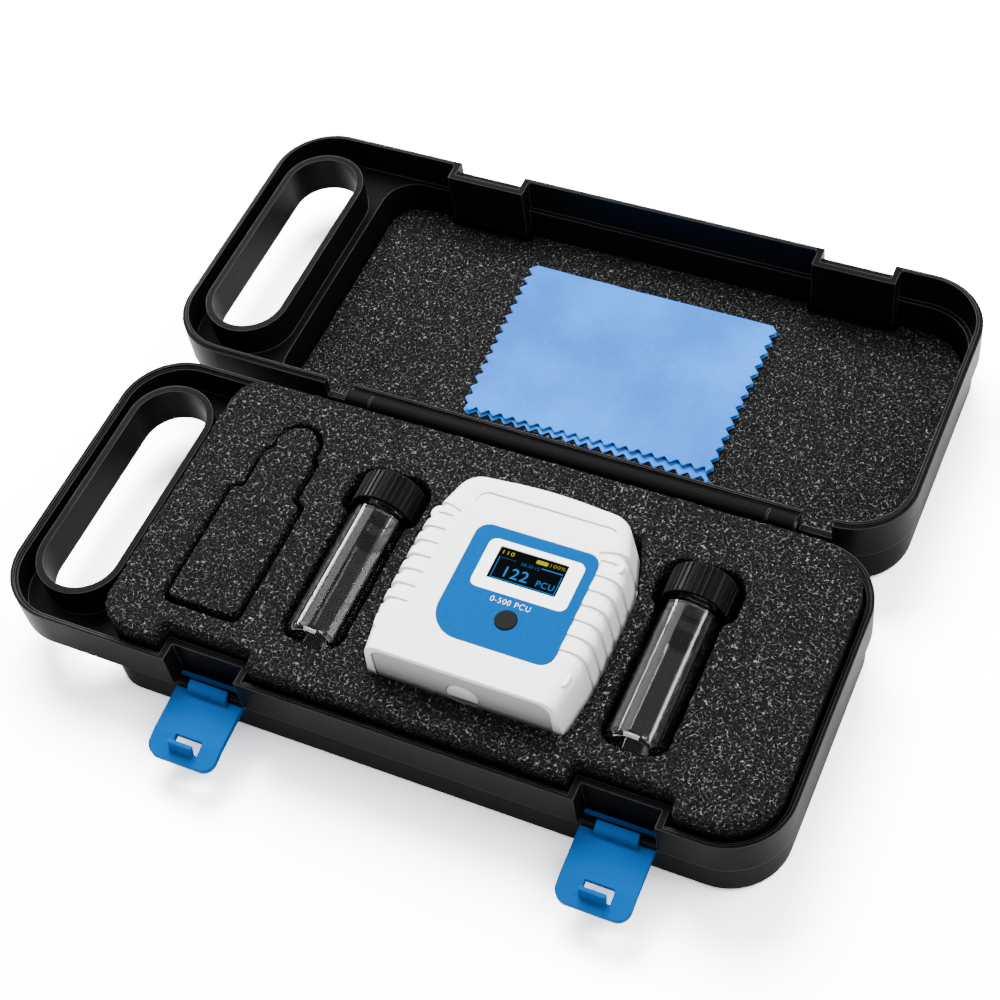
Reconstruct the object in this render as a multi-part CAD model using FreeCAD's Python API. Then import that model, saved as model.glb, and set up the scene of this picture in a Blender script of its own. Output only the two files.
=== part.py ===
"""A water colour meter lying in its carrying case, with two sample vials, a wiping cloth and a
foam blank in the third pocket. The case is open flat and stands on a table.

X runs along the case from the handle end, Y from the latches to the hinge and past it, Z up.
The origin is on the table under the middle of the case's lower half. Lengths are in millimetres."""
import FreeCAD, Part
import math
import os

V = FreeCAD.Vector
ALONG = V(1, 0, 0)
ACROSS = V(0, 1, 0)
UP = V(0, 0, 1)

# How far a cutting shape reaches past the piece that it cuts, and one joined piece into another
past = 1.0
# How far the cut along a leaning wall goes on below and above it, as a share of its height
wall_overrun = 0.1

# Carrying case: two trays of equal depth
case_length = 274.0
case_width = 113.0
case_corner = 22.0
tray_depth = 33.0
band_height = 15.0
band_step = 1.8
case_wall = 2.4
case_floor = 2.4
case_edge = 2.0
rim_gap = 0.3
lip_height = 1.0
lip_width = 1.0
lip_clearance = 0.25
lip_end_gap = 0.2
lip_notch_gap = 0.6
tub_from_end = 38.5
tub_corner = 12.0

# Handle: a ring wall round the finger opening of each tray
handle_opening_width = 26.8
handle_opening_length = 86.0
handle_wall = 2.5
handle_inset = 6.2

# Hinge behind the trays
hinge_offset = 3.2
barrel_radius = 2.7
pin_radius = 1.2
pin_clearance = 0.05
hinge_start = 78.0
hinge_from_right = 33.2
knuckle_length = 9.2
knuckle_gap = 0.4
window_length = 11.0
window_height = 7.0

# Latches on the front
latch_shares = (0.184, 0.790)
notch_width = 26.0
notch_depth = 6.3
notch_wall = 2.2
notch_height = 19.9
latch_width = 24.6
latch_length = 26.0
latch_thickness = 2.2
latch_droop = 6.0
latch_bend = 9.0
latch_bend_at = 17.6
latch_corner = 4.5
axle_radius = 1.8
axle_drop = 15.2
axle_setback = 2.1
axle_seat = 1.5
axle_clearance = 0.05
axle_end_gap = 0.2
clip_clearance = 0.1
clip_wall = 1.5
clip_width = 14.0
channel_from = -200.0
channel_to = -25.0
clip_from = -30.0
clip_to = 95.0
plate_drop = 0.4
hook_width = 8.6
hook_height = 3.0
hook_lean = 1.5
hook_thickness = 1.4
slot_margin = 1.2
slot_length = 4.6
catch_drop = 2.6
catch_height = 1.8
catch_clearance = 0.5
catch_setback = 2.2
catch_root = 0.5

# Foam in both trays
foam_stand = 7.0
foam_gap = 1.2
seat_gap = 0.2
pocket_gap = 0.6
lid_foam_thickness = 6.6

# Meter
meter_share = 0.5516
meter_front = 16.9
meter_length = 76.0
meter_width = 72.0
meter_thickness = 37.5
meter_stand = 21.0
meter_end_width = 66.8
meter_far_width = 58.5
meter_shoulder = 2.5
meter_near_taper = 18.0
meter_far_taper = 24.0
meter_shoulder_corner = 9.0
meter_near_swell_radius = 40.0
meter_far_swell_radius = 50.0
meter_far_radius = 150.0
meter_parting = 16.5
meter_top_draft = 1.8
meter_bottom_draft = 2.2
meter_edge = 5.0
meter_bottom_edge = 1.5
ceiling_bevel = 2.6
shell_wall = 2.0
grip_count = 8
grip_pitch = 5.7
grip_width = 2.6
grip_depth = 0.5
grip_reach = 11.0
grip_from_far_end = 59.5
grip_arc_steps = 3

# End plate of the meter
plate_thickness = 1.5
plate_inset = 0.4
plate_margin = 1.7
plate_side_margin = 3.4
plate_corner = 4.6
plate_fit = 0.15
plate_ledge = 2.2
moon_radius = 5.6
moon_height = 24.5
moon_gap = 0.3
moon_cut = 2.0
tongue_width = 6.8
tongue_thickness = 1.4
tongue_gap = 0.1

# Face of the meter: label, window frame, display and button
label_near_gap = 11.7
label_far_gap = 21.9
label_width = 41.7
label_thickness = 0.5
label_sink = 0.4
label_corner = 4.5
label_sweep = 10.5
label_offset = 4.75
label_fit = 0.1
frame_width = 32.4
frame_height = 18.6
frame_offset = 5.9
frame_share = 0.68
frame_corner = 2.6
display_width = 23.3
display_height = 12.2
display_offset = 5.5
display_share = 0.705
display_glass_width = 25.6
display_glass_height = 15.0
display_glass_thickness = 1.6
display_glass_corner = 0.8
display_corner = 0.6
glass_fit = 0.2
display_board_side = 27.0
display_board_thickness = 1.2
pin_count = 4
pin_pitch = 2.54
pin_side = 0.64
pin_inset = 2.0
button_radius = 3.6
button_clearance = 0.1
button_offset = 6.3
button_share = 0.262
button_stand = 0.4
button_flange = 1.0
button_flange_thickness = 0.8
button_travel = 0.5
button_seat_gap = 0.05
button_edge = 0.35
button_stem_radius = 1.6
switch_side = 6.0
switch_height = 3.2
switch_nub_radius = 1.7
switch_nub_height = 0.6
switch_nub_gap = 0.1
panel_width = 48.0
panel_height = 8.4
panel_depth = 0.5
panel_offset = 3.0
panel_far_gap = 10.6
panel_corner = 3.5

# Electronics and optics inside the meter
board_width = 48.0
board_far_gap = 9.0
board_thickness = 1.6
board_depth = 9.4
board_start = 9.0
board_corner = 2.0
chips = ((-14, 30, 10, 10, 1.4), (-15, 46, 6, 5, 1.2), (13, 16, 5, 8, 1.6), (-6, 18, 4, 3, 1.8))
capacitor_place = (-12.0, 21.5)
capacitor_radius = 2.5
capacitor_height = 5.0
post_radius = 2.6
board_post_x = 21.0
board_post_near = 19.0
board_post_far_gap = 14.0
screw_radius = 1.0
screw_head_radius = 2.0
screw_head = 1.4
screw_clearance = 0.05
screw_end_gap = 0.1
board_screw_grip = 5.0
shell_screw_grip = 8.0
shell_screw_depth = 4.0
shell_post_radius = 3.0
shell_post_x = 30.0
shell_post_near = 10.5
shell_post_far_gap = 23.0
well_radius = 9.9
well_wall = 3.1
well_depth = 44.0
well_clearance = 0.3
well_corner = 2.0
well_floor = 2.0
beam_from_far_end = 28.0
beam_boss_radius = 4.6
beam_boss_length = 5.5
beam_radius = 2.5
beam_fit = 0.05
beam_gap = 0.5
lamp_length = 5.0
lamp_rim = 1.0
lamp_rim_radius = 3.0
lens_setback = 0.8
lens_thickness = 1.6
lens_curve = 6.0
filter_thickness = 1.5
carrier_thickness = 1.2
carrier_width = 12.0
carrier_height = 14.0
cover_radius = 11.0
cover_flange = 1.6
cover_fit = 0.2
cover_inset = 1.2
plug_length = 5.0
plug_gap = 0.6
seal_thickness = 1.2
grip_bar_length = 14.0
grip_bar_width = 3.0
grip_bar_height = 0.8
cell_radius = 5.25
cell_length = 44.5
cell_gap = 0.1
cell_clearance = 0.15
cell_end_room = 1.6
cell_setback = 1.8
cell_nub_length = 1.0
cell_nub_radius = 1.9
contact_gap = 0.05
contact_thickness = 0.4
contact_side = 8.0
contact_button_radius = 1.6
spring_root_radius = 3.2
spring_tip_radius = 2.0
holder_wall = 1.0

# Sample vials: screw-capped glass tubes lying in the foam
vial_shares = (0.3163, 0.7813)
vial_front = 20.0
vial_length = 64.5
vial_radius = 9.6
vial_wall = 1.1
vial_base = 1.6
vial_foot = 1.0
foot_ring = 2.6
foot_rise = 0.5
bore_step = 0.2
shoulder_skin = 0.6
vial_sink = 4.0
neck_radius = 8.2
neck_length = 9.8
shoulder_length = 2.4
thread_radius = 8.9
thread_count = 2
thread_pitch = 2.2
thread_from_mouth = 2.4
thread_half_width = 0.7
thread_root = 0.3
cap_radius = 11.2
cap_length = 12.0
cap_top = 1.6
cap_bore_clearance = 0.1
cap_rib_count = 36
cap_rib_depth = 0.45
rib_land = 0.5
rib_valley = 0.75
cap_edge = 1.0
cap_mouth_depth = 1.2
cap_mouth_room = 0.3
liner_fit = 0.1
liner_thickness = 0.8
vial_side_gap = 1.2
cap_side_gap = 2.6
cap_end_gap = 3.8
cap_near_gap = 3.0
vial_end_gap = 1.0
glass_pocket_corner = 5.0
cap_pocket_corner = 8.0

# Foam blank, cut like the tool that the third pocket is made for
blank_share = 0.1507
blank_front = 18.0
blank_width = 27.5
blank_shoulder = 48.0
blank_neck_width = 19.5
blank_neck_end = 66.0
blank_tip_radius = 7.9
blank_tip_reach = 4.0
blank_grip_corner = 3.0
blank_neck_corner = 2.0
blank_neck_root = 10.0
blank_thickness = 17.0
blank_stand = 0.5

# Wiping cloth, folded once, on the lid's foam
cloth_width = 96.0
cloth_depth = 71.0
cloth_thickness = 1.6
cloth_corner = 1.0
cloth_share = 0.487
cloth_from_hinge = 59.0

# Places that follow from the sizes above
left = -case_length / 2
right = case_length / 2
front = -case_width / 2
back = case_width / 2
band_bottom = tray_depth - band_height
hinge_y = back + hinge_offset
hinge_z = tray_depth + rim_gap / 2
tub_left = left + tub_from_end
foam_top = tray_depth + foam_stand

def along_case(share):
    """A place along the foam: 0 at its handle end, 1 at the case's far end."""
    return tub_left + share * (right - tub_left)


meter_x = along_case(meter_share)
meter_y = front + meter_front
meter_top = tray_depth + meter_stand
meter_bottom = meter_top - meter_thickness
meter_seam = meter_bottom + meter_parting
board_top = meter_top - shell_wall - board_depth + board_thickness
board_low = board_top - board_thickness
well_low = meter_bottom + shell_wall
well_high = board_low - well_clearance
well_z = (well_low + well_high) / 2
label_length = meter_length - label_near_gap - label_far_gap
label_middle = label_near_gap + label_length / 2
frame_middle = label_near_gap + frame_share * label_length
display_middle = label_near_gap + display_share * label_length
button_middle = label_near_gap + button_share * label_length
board_length = meter_length - board_start - board_far_gap
board_post_y = (board_post_near, meter_length - board_post_far_gap)
shell_post_y = (shell_post_near, meter_length - shell_post_far_gap)


def rounded_wire(corners, radii, z=0.0):
    """A closed flat wire through corners, each one rounded by its own radius."""
    count = len(corners)
    starts = []
    middles = []
    ends = []
    for i in range(count):
        here = V(corners[i][0], corners[i][1], z)
        before = V(corners[i - 1][0], corners[i - 1][1], z) - here
        after = V(corners[(i + 1) % count][0], corners[(i + 1) % count][1], z) - here
        before.normalize()
        after.normalize()
        half_angle = before.getAngle(after) / 2
        inward = before + after
        inward.normalize()
        reach = radii[i] / math.tan(half_angle)
        starts.append(here + before * reach)
        ends.append(here + after * reach)
        middles.append(here + inward * (radii[i] / math.sin(half_angle) - radii[i]))
    edges = []
    for i in range(count):
        if radii[i] > 0:
            edges.append(Part.Arc(starts[i], middles[i], ends[i]).toShape())
        if (starts[(i + 1) % count] - ends[i]).Length > 1e-6:
            edges.append(Part.LineSegment(ends[i], starts[(i + 1) % count]).toShape())
    return Part.Wire(edges)


def prism(corners, radii, z0, z1):
    """A rounded outline in the XY plane, made solid from z0 to z1."""
    return Part.Face(rounded_wire(corners, radii, z0)).extrude(UP * (z1 - z0))


def slab(x0, x1, y0, y1, z0, z1, radius=0.0):
    """A block with rounded upright edges: one radius, or four from the near left one round."""
    radii = radius if isinstance(radius, tuple) else (radius,) * 4
    return prism([(x0, y0), (x1, y0), (x1, y1), (x0, y1)], radii, z0, z1)


def rod(radius, length, place, direction):
    """A round bar that starts at place."""
    return Part.makeCylinder(radius, length, place, direction)


def joined(pieces):
    """One solid out of pieces that share volume or faces."""
    whole = pieces[0]
    for piece in pieces[1:]:
        whole = whole.fuse(piece)
    return whole.removeSplitter()


def edges_at_height(shape, z):
    """The edges that lie flat at a height."""
    return [e for e in shape.Edges if abs(e.BoundBox.ZMin - z) < 1e-4 and e.BoundBox.ZLength < 1e-4]


def section_along_x(points, x0, x1):
    """A polygon of (y, z) points made solid from x0 to x1."""
    wire = Part.makePolygon([V(x0, y, z) for y, z in points + points[:1]])
    return Part.Face(wire).extrude(ALONG * (x1 - x0))


def save(name, pieces):
    """Writes one named part, which may be a group of like solids."""
    group = pieces if isinstance(pieces, list) else [pieces]
    solids = [solid for piece in group for solid in piece.Solids]
    shape = solids[0] if len(solids) == 1 else Part.makeCompound(solids)
    shape.exportStep("parts/%s.step" % name)
    print(name, len(solids), "%.1f" % shape.Volume, "valid" if shape.isValid() else "NOT VALID")


# Carrying case


def stadium(grow, z0, z1):
    """The handle's long round-ended shape, grown by grow on every side."""
    x0 = left + handle_inset + handle_wall - grow
    x1 = x0 + handle_opening_width + 2 * grow
    y1 = handle_opening_length / 2 + grow
    end_radius = (x1 - x0) / 2
    return slab(x0, x1, -y1, y1, z0, z1, end_radius)


def latch_box(place, side, reach, z0):
    """The space of a latch notch, widened to each side and reaching in from the front."""
    x = along_case(place)
    half = notch_width / 2 + side
    return slab(x - half, x + half, front - past, front + notch_depth + reach, z0,
                foam_top + past)


def compartment(shrink, z0, z1, lower):
    """The tray's room beside the handle, as wide as the band's inside or the lower part's."""
    inset = case_wall + (band_step if lower else 0) + shrink
    far_corner = case_corner - inset
    near_corner = tub_corner - shrink
    radii = (near_corner, far_corner, far_corner, near_corner)
    x0 = tub_left + case_wall + shrink
    return slab(x0, right - inset, front + inset, back - inset, z0, z1, radii)


def tray():
    """One half of the case: band, deeper tub, ledge, handle ring and latch notches."""
    band = slab(left, right, front, back, band_bottom, tray_depth, case_corner)
    tub_radii = (tub_corner, case_corner - band_step, case_corner - band_step, tub_corner)
    tub = slab(tub_left, right - band_step, front + band_step, back - band_step, 0,
               band_bottom + past, tub_radii)
    tub = tub.makeChamfer(case_edge, edges_at_height(tub, 0))
    outside = band.fuse(tub)
    ledge = band_bottom + case_floor
    inner_corner = case_corner - case_wall
    upper = slab(left + case_wall, right - case_wall, front + case_wall, back - case_wall, ledge,
                 tray_depth + past, inner_corner)
    upper = upper.cut(stadium(handle_wall, 0, tray_depth + past))
    lower = compartment(0, case_floor, ledge + past, True)
    rebate_wall = case_wall - lip_width - lip_clearance
    rebate = slab(left + rebate_wall, right - rebate_wall, front + rebate_wall, back - rebate_wall,
                  tray_depth - lip_height - lip_end_gap, tray_depth + past, case_corner - rebate_wall)
    rebate = rebate.cut(stadium(handle_wall, 0, tray_depth + past))
    for place in latch_shares:
        keep = latch_box(place, notch_wall, notch_wall, tray_depth - notch_height - notch_wall)
        upper = upper.cut(keep)
        lower = lower.cut(keep)
        rebate = rebate.cut(keep)
    half = outside.cut(upper).cut(lower).cut(stadium(0, 0, tray_depth + past))
    for place in latch_shares:
        half = half.cut(latch_box(place, 0, 0, tray_depth - notch_height))
    return half, rebate


def hinge_barrel(x0, x1):
    """One hinge knuckle with the web that ties it to the tray in front of it."""
    barrel = rod(barrel_radius, x1 - x0, V(x0, hinge_y, hinge_z), ALONG)
    web = slab(x0, x1, back - case_wall / 2, hinge_y, hinge_z - barrel_radius,
               tray_depth - rim_gap / 2)
    bore = rod(pin_radius + pin_clearance, x1 - x0, V(x0, hinge_y, hinge_z), ALONG)
    return barrel.fuse(web), bore


def over_hinge(shape):
    """The same shape in the other tray: mirrored in the upright plane through the hinge."""
    return shape.mirror(V(0, hinge_y, 0), ACROSS)


def make_case():
    """Lower tray, lid, hinge pin and the two latch axles."""
    half, rebate = tray()
    base = half.cut(rebate)
    lid = half
    hinge_from = left + hinge_start
    hinge_to = right - hinge_from_right
    for x0 in (hinge_from, hinge_to - knuckle_length):
        knuckle, bore = hinge_barrel(x0, x0 + knuckle_length)
        base = base.fuse(knuckle).cut(bore)
    middle_from = hinge_from + knuckle_length + knuckle_gap
    middle_to = hinge_to - knuckle_length - knuckle_gap
    knuckle, bore = hinge_barrel(middle_from, middle_to)
    lid = lid.fuse(knuckle).cut(bore)
    for x0 in (hinge_from - window_length, hinge_to):
        lid = lid.cut(slab(x0, x0 + window_length, back - case_wall - past, back + past,
                           tray_depth - window_height, tray_depth + past))
    axle_y = front + axle_setback
    axle_z = tray_depth - axle_drop
    axle_half = notch_width / 2 + axle_seat
    axles = []
    for place in latch_shares:
        x = along_case(place)
        seat_half = axle_half + axle_end_gap
        seat = rod(axle_radius + axle_clearance, 2 * seat_half, V(x - seat_half, axle_y, axle_z), ALONG)
        base = base.cut(seat)
        axles.append(rod(axle_radius, 2 * axle_half, V(x - axle_half, axle_y, axle_z), ALONG))
        catch_half = notch_width / 2 + catch_root
        catch = slab(x - catch_half, x + catch_half,
                     front + catch_setback, front + notch_depth + catch_root,
                     tray_depth - catch_drop - catch_height, tray_depth - catch_drop)
        lid = lid.fuse(catch)
    lip_outside = case_wall - lip_width
    lip = slab(left + lip_outside, right - lip_outside, front + lip_outside, back - lip_outside,
               tray_depth - past / 2, tray_depth + lip_height, case_corner - lip_outside)
    lip = lip.cut(slab(left + case_wall, right - case_wall, front + case_wall, back - case_wall,
                       tray_depth - past, tray_depth + 2 * past, case_corner - case_wall))
    for place in latch_shares:
        lip = lip.cut(latch_box(place, notch_wall + lip_notch_gap, notch_wall, tray_depth - past))
    for x0 in (hinge_from - window_length, hinge_to):
        lip = lip.cut(slab(x0, x0 + window_length, 0, back + past, tray_depth - past, foam_top))
    lid = lid.fuse(lip)
    save("case_base", base.removeSplitter())
    save("case_lid", over_hinge(lid.removeSplitter()))
    save("latch_axles", axles)
    pin_length = hinge_to - hinge_from
    save("hinge_pin", rod(pin_radius, pin_length, V(hinge_from, hinge_y, hinge_z), ALONG))


# Latches


def ring_sector(inner, outer, from_deg, to_deg, x0, x1):
    """A bent strip round the axle, from one angle to another: 0 is out of the case, 90 up."""
    def at(radius, deg):
        angle = math.radians(deg)
        return V(x0, -radius * math.cos(angle), radius * math.sin(angle))
    middle_deg = (from_deg + to_deg) / 2
    edges = [
        Part.Arc(at(outer, from_deg), at(outer, middle_deg), at(outer, to_deg)).toShape(),
        Part.LineSegment(at(outer, to_deg), at(inner, to_deg)).toShape(),
        Part.Arc(at(inner, to_deg), at(inner, middle_deg), at(inner, from_deg)).toShape(),
        Part.LineSegment(at(inner, from_deg), at(outer, from_deg)).toShape(),
    ]
    return Part.Face(Part.Wire(edges)).extrude(ALONG * (x1 - x0))


def make_latch(name, place):
    """A moulded latch, clipped on its axle: plate, clip, slot and hook."""
    half = latch_width / 2
    clip_inner = axle_radius + clip_clearance
    clip_outer = clip_inner + clip_wall
    plate_top = -plate_drop
    plate_low = plate_top - latch_thickness
    root = -clip_inner * 0.9
    tip_drop = (latch_length - latch_bend_at) * math.tan(math.radians(latch_bend))
    plate = section_along_x([
        (root, plate_low),
        (-latch_bend_at, plate_low),
        (-latch_length, plate_low - tip_drop),
        (-latch_length, plate_top - tip_drop),
        (-latch_bend_at, plate_top),
        (root, plate_top),
    ], -half, half)
    outline = slab(-half, half, -latch_length, 0, plate_low - latch_length, plate_top + past,
                   (latch_corner, latch_corner, 0, 0))
    plate = plate.common(outline).cut(rod(clip_inner, latch_width, V(-half, 0, 0), ALONG))
    channel = ring_sector(clip_inner, clip_outer, channel_from, channel_to, -half, half)
    knuckle = ring_sector(clip_inner, clip_outer, clip_from, clip_to, -clip_width / 2,
                          clip_width / 2)
    catch_top = axle_drop + rim_gap + catch_drop + catch_height
    hook_near = catch_top + catch_clearance
    hook_foot = hook_near + hook_lean
    slot = slab(-hook_width / 2, hook_width / 2 + slot_margin, -hook_foot,
                -hook_foot + slot_length, plate_low - latch_length, plate_top + past)
    hook = section_along_x([
        (-hook_foot, plate_top - latch_thickness),
        (-hook_near, plate_top + hook_height),
        (-hook_near - hook_thickness, plate_top + hook_height),
        (-hook_foot - hook_thickness, plate_top - latch_thickness),
    ], -hook_width / 2, hook_width / 2)
    latch = joined([plate.fuse(channel).fuse(knuckle).cut(slot), hook])
    latch.rotate(V(0, 0, 0), ALONG, latch_droop)
    latch.translate(V(along_case(place), front + axle_setback, tray_depth - axle_drop))
    save(name, latch)


# Foam, foam blank and cloth


def meter_plan(grow, near_grow, z):
    """The meter's corners from above, in its own frame: near end at y 0, middle at x 0."""
    half_end = meter_end_width / 2
    half_wide = meter_width / 2
    half_far = meter_far_width / 2
    shoulder = meter_length - meter_shoulder
    right_side = [(half_end, 0), (half_wide, meter_near_taper),
                  (half_wide, meter_length - meter_far_taper), (half_far, shoulder)]
    outline = right_side + [(0, meter_length)] + [(-x, y) for x, y in reversed(right_side)]
    count = len(outline)
    walls = []
    for i in range(count):
        start = V(*outline[i], z)
        along = V(*outline[(i + 1) % count], z) - start
        along.normalize()
        outward = V(along.y, -along.x, 0)
        walls.append((start + outward * (near_grow if i == count - 1 else grow), along, outward))
    corners = []
    for i in range(count):
        here, along, _ = walls[i]
        before, _, outward = walls[i - 1]
        corners.append(here + along * ((before - here).dot(outward) / along.dot(outward)))
    return corners


def in_meter_place(shape):
    """Moves a shape from the meter's own frame to where the meter lies."""
    moved = shape.copy()
    moved.translate(V(meter_x, meter_y, 0))
    return moved


def blank_shape(grow, z0, z1):
    """The foam blank's outline: wide grip, narrower neck and round tip."""
    x = along_case(blank_share)
    y = front + blank_front
    wide = blank_width / 2 + grow
    neck = blank_neck_width / 2 + grow
    grip = slab(x - wide, x + wide, y - grow, y + blank_shoulder + grow, z0, z1,
                blank_grip_corner)
    stem = slab(x - neck, x + neck, y + blank_shoulder - blank_neck_root,
                y + blank_neck_end + grow, z0, z1, blank_neck_corner)
    tip = rod(blank_tip_radius + grow, z1 - z0, V(x, y + blank_neck_end + blank_tip_reach, z0), UP)
    return joined([grip, stem, tip])


def vial_axis_height():
    """The height of the vials' axes above the table."""
    return foam_top - vial_sink


def vial_pocket(place):
    """The pocket of one vial: a slot for the glass and a wider one for the cap."""
    x = along_case(place)
    y = front + vial_front
    axis_z = vial_axis_height()
    cap_start = y + vial_length - cap_length
    half = vial_radius + vial_side_gap
    glass_slot = slab(x - half, x + half, y - vial_end_gap, cap_start + past,
                      axis_z - vial_radius - seat_gap, foam_top + past,
                      (glass_pocket_corner, glass_pocket_corner, 0.0, 0.0))
    cap_half = cap_radius + cap_side_gap
    near_corner = cap_near_gap
    cap_slot = slab(x - cap_half, x + cap_half, cap_start - cap_near_gap,
                    y + vial_length + cap_end_gap, axis_z - cap_radius - seat_gap, foam_top + past,
                    (near_corner, near_corner, cap_pocket_corner, cap_pocket_corner))
    return glass_slot.fuse(cap_slot)


def make_foam():
    """Foam insert of the lower tray with its pockets, foam of the lid, foam blank and cloth."""
    ledge = band_bottom + case_floor
    insert = joined([
        compartment(foam_gap, case_floor + seat_gap, ledge + foam_gap, True),
        compartment(foam_gap, ledge + foam_gap, foam_top, False),
    ])
    for place in latch_shares:
        insert = insert.cut(latch_box(place, notch_wall + foam_gap, notch_wall + foam_gap, -past))
    floor_z = meter_bottom - seat_gap
    plan = meter_plan(pocket_gap, pocket_gap, floor_z)
    pocket = Part.Face(Part.makePolygon(plan + plan[:1])).extrude(UP * meter_thickness)
    insert = insert.cut(in_meter_place(pocket))
    for place in vial_shares:
        insert = insert.cut(vial_pocket(place))
    blank_top = foam_top + blank_stand
    blank_bottom = blank_top - blank_thickness
    insert = insert.cut(blank_shape(pocket_gap, blank_bottom - seat_gap, foam_top + past))
    save("foam_insert", insert.removeSplitter())
    save("foam_blank", blank_shape(0, blank_bottom, blank_top))
    sheet_bottom = case_floor + seat_gap
    sheet_top = sheet_bottom + lid_foam_thickness
    sheet = compartment(foam_gap, sheet_bottom, sheet_top, True)
    for place in latch_shares:
        sheet = sheet.cut(latch_box(place, notch_wall + foam_gap, notch_wall + foam_gap, -past))
    save("lid_foam", over_hinge(sheet))
    x = along_case(cloth_share)
    near = hinge_y + cloth_from_hinge - cloth_depth / 2
    cloth_bottom = sheet_top + seat_gap
    cloth = slab(x - cloth_width / 2, x + cloth_width / 2, near, near + cloth_depth, cloth_bottom,
                 cloth_bottom + cloth_thickness, cloth_corner)
    save("cleaning_cloth", cloth)


# Meter housing


def carved(lower, upper):
    """A block cut flat along every wall that runs from a corner of one outline to the other's."""
    count = len(lower)
    far = meter_length
    block = slab(-far, far, -far, 2 * far, lower[0].z, upper[0].z)
    for i in range(count):
        along = lower[(i + 1) % count] - lower[i]
        along.normalize()
        rise = upper[i] - lower[i]
        rise = rise - along * rise.dot(along)
        start = lower[i] - along * far - rise * wall_overrun
        wall = Part.makePolygon([
            start, start + along * 3 * far, start + along * 3 * far + rise * (1 + 2 * wall_overrun),
            start + rise * (1 + 2 * wall_overrun), start])
        block = block.cut(Part.Face(wall).extrude(V(along.y, -along.x, 0) * 2 * far))
    return block


def draft_at(z):
    """How far the meter's walls lean in at a height, measured from the seam."""
    if z >= meter_seam:
        return -meter_top_draft * (z - meter_seam) / (meter_top - meter_seam)
    return -meter_bottom_draft * (meter_seam - z) / (meter_seam - meter_bottom)


def meter_body(grow, near_grow, low, high):
    """The meter's drafted form between two heights on one side of the seam."""
    return carved(meter_plan(grow + draft_at(low), near_grow, low),
                  meter_plan(grow + draft_at(high), near_grow, high))


def upright_edges(body, corner_low, corner_high):
    """The edge of a body that joins two corners."""
    found = []
    for edge in body.Edges:
        ends = [vertex.Point for vertex in edge.Vertexes]
        if len(ends) == 2 and min(ends[0].distanceToPoint(corner_low)
                                  + ends[1].distanceToPoint(corner_high),
                                  ends[1].distanceToPoint(corner_low)
                                  + ends[0].distanceToPoint(corner_high)) < 1e-4:
            found.append(edge)
    return found


def rounded_body(low, high):
    """The meter's outside between two heights, with its upright corners rounded."""
    body = meter_body(0, 0, low, high)
    lower = meter_plan(draft_at(low), 0, low)
    upper = meter_plan(draft_at(high), 0, high)
    last = len(lower) - 1
    for radius, numbers in ((meter_near_swell_radius, (1, last - 1)),
                            (meter_far_swell_radius, (2, last - 2)),
                            (meter_shoulder_corner, (3, last - 3)), (meter_far_radius, (4,))):
        for i in numbers:
            body = body.makeFillet(radius, upright_edges(body, lower[i], upper[i]))
    return body


def rim_edges(body, z):
    """The edges at a height, without the straight one at the near end."""
    return [e for e in edges_at_height(body, z) if e.BoundBox.YMax > 1e-3]


def grip_tool(y, side):
    """A cutter for one finger groove: it runs in from the side wall over the rounded top edge."""
    taper_start = meter_length - meter_far_taper
    taper = max(0.0, y - taper_start) / (meter_far_taper - meter_shoulder)
    half = meter_width / 2 - taper * (meter_width - meter_far_width) / 2
    swing = math.atan((meter_width - meter_far_width) / 2 / (meter_far_taper - meter_shoulder))
    lean = meter_top_draft / (meter_top - meter_seam)
    middle = -meter_top_draft - meter_edge
    arc = []
    for i in range(grip_arc_steps + 1):
        angle = math.pi / 2 * i / grip_arc_steps
        arc.append((middle + (meter_edge - grip_depth) * math.cos(angle),
                    meter_top - meter_edge + (meter_edge - grip_depth) * math.sin(angle)))
    profile = [(past, meter_seam), (-grip_depth, meter_seam)] + arc + [
        (-grip_reach + grip_depth, meter_top - grip_depth), (-grip_reach - lean, meter_top + past),
        (past, meter_top + past)]
    wire = Part.makePolygon([V(u, 0, z) for u, z in profile + profile[:1]])
    tool = Part.Face(wire).extrude(ACROSS * grip_width)
    if taper > 0:
        tool.rotate(V(0, 0, 0), UP, math.degrees(swing))
    tool.translate(V(half, y, 0))
    return tool if side > 0 else tool.mirror(V(0, 0, 0), ALONG)


def grip_grooves():
    """Finger grooves on both long sides of the meter."""
    tools = []
    for side in (-1, 1):
        for i in range(grip_count):
            y = meter_length - grip_from_far_end + i * grip_pitch
            tools.append(grip_tool(y, side))
    return Part.makeCompound(tools)


def end_opening(margin, depth):
    """The opening for the end plate, seen from the near end, margin wider on every side."""
    half = meter_end_width / 2 - plate_side_margin + margin
    z0 = meter_bottom + plate_margin - margin
    z1 = meter_top - plate_margin + margin
    face = slab(-half, half, z0, z1, 0, depth, plate_corner + margin)
    face.rotate(V(0, 0, 0), ALONG, 90)
    face.translate(V(0, depth, 0))
    return face


def moon(radius, y0, y1):
    """A disc in the end plate's plane, where the thumb notch is."""
    return rod(radius, y1 - y0, V(0, y0, meter_bottom + moon_height), ACROSS)


def label_outline(shrink, z0, z1):
    """The label's rounded shape with one corner swept wide."""
    x0 = label_offset - label_width / 2 + shrink
    x1 = label_offset + label_width / 2 - shrink
    y0 = label_middle - label_length / 2 + shrink
    y1 = label_middle + label_length / 2 - shrink
    small = label_corner - shrink
    return slab(x0, x1, y0, y1, z0, z1, (label_sweep - shrink, small, small, small))


def centred(x, y, width, height, z0, z1, radius=0.0):
    """A block on its middle point."""
    return slab(x - width / 2, x + width / 2, y - height / 2, y + height / 2, z0, z1, radius)


def well_axis():
    """A point on the cuvette well's axis, on the outside of the far end wall."""
    return V(0, meter_length, well_z)


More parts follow.
